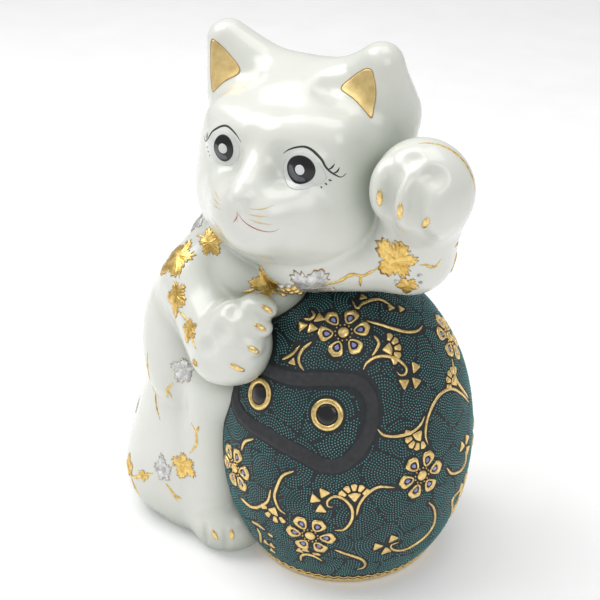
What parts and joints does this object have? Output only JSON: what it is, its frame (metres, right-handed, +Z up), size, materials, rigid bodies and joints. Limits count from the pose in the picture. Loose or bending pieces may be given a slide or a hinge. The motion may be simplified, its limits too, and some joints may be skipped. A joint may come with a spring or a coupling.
{
  "type": "beckoning cat figurine",
  "caption": "Sitting porcelain cat with one paw raised beside its cheek, leaning on a round doll covered with raised enamel dots and gold scrolls.",
  "frame": {"origin": "on the table plane below the middle of the cat's head, on the flat underside of the doll", "axes": "+Z up, -Y towards the front where both faces look, +X towards the doll's side, away from the cat's haunch"},
  "size_m": [0.1455, 0.1038, 0.2025],
  "materials": {
    "cat_porcelain": "clear glaze over white slip-cast porcelain",
    "doll_porcelain": "unglazed dark ground on porcelain",
    "dot_enamel": "matte dark ground closely covered with fine raised teal enamel dots",
    "dark_enamel": "matte charcoal enamel",
    "gold": "fired bright gold over raised enamel",
    "silver": "fired silver leaf",
    "black_gloss": "glossy black enamel",
    "violet_enamel": "raised translucent violet enamel drop",
    "eye_white": "pale bluish glaze",
    "eye_light": "white enamel spot",
    "red_enamel": "fine red enamel line"
  },
  "bodies": {
    "root": {"cat_body": "cat_porcelain", "cat_head": "cat_porcelain", "hind_leg": "cat_porcelain", "resting_arm": "cat_porcelain", "raised_arm": "cat_porcelain", "cat_tail": "cat_porcelain", "doll_shell": "doll_porcelain", "dot_enamel_coat": "dot_enamel", "face_window_band": "dark_enamel", "doll_eye_rings": "gold", "doll_pupils": "black_gloss", "base_gold_band": "gold", "blossoms": "gold", "blossom_jewels": "violet_enamel", "fan_leaves": "gold", "scroll_stems": "gold", "cat_eye_whites": "eye_white", "cat_irises": "black_gloss", "pupil_lights": "eye_light", "eyelid_lines": "black_gloss", "lower_lashes": "black_gloss", "mouth_line": "red_enamel", "whiskers": "gold", "ear_lining_right": "gold", "ear_lining_left": "gold", "resting_paw_claws": "gold", "raised_paw_claws": "gold", "hind_foot_claws": "gold", "gold_leaves": "gold", "silver_leaves": "silver", "vine_stems": "gold", "grape_berries": "gold"}
  },
  "joints": []
}
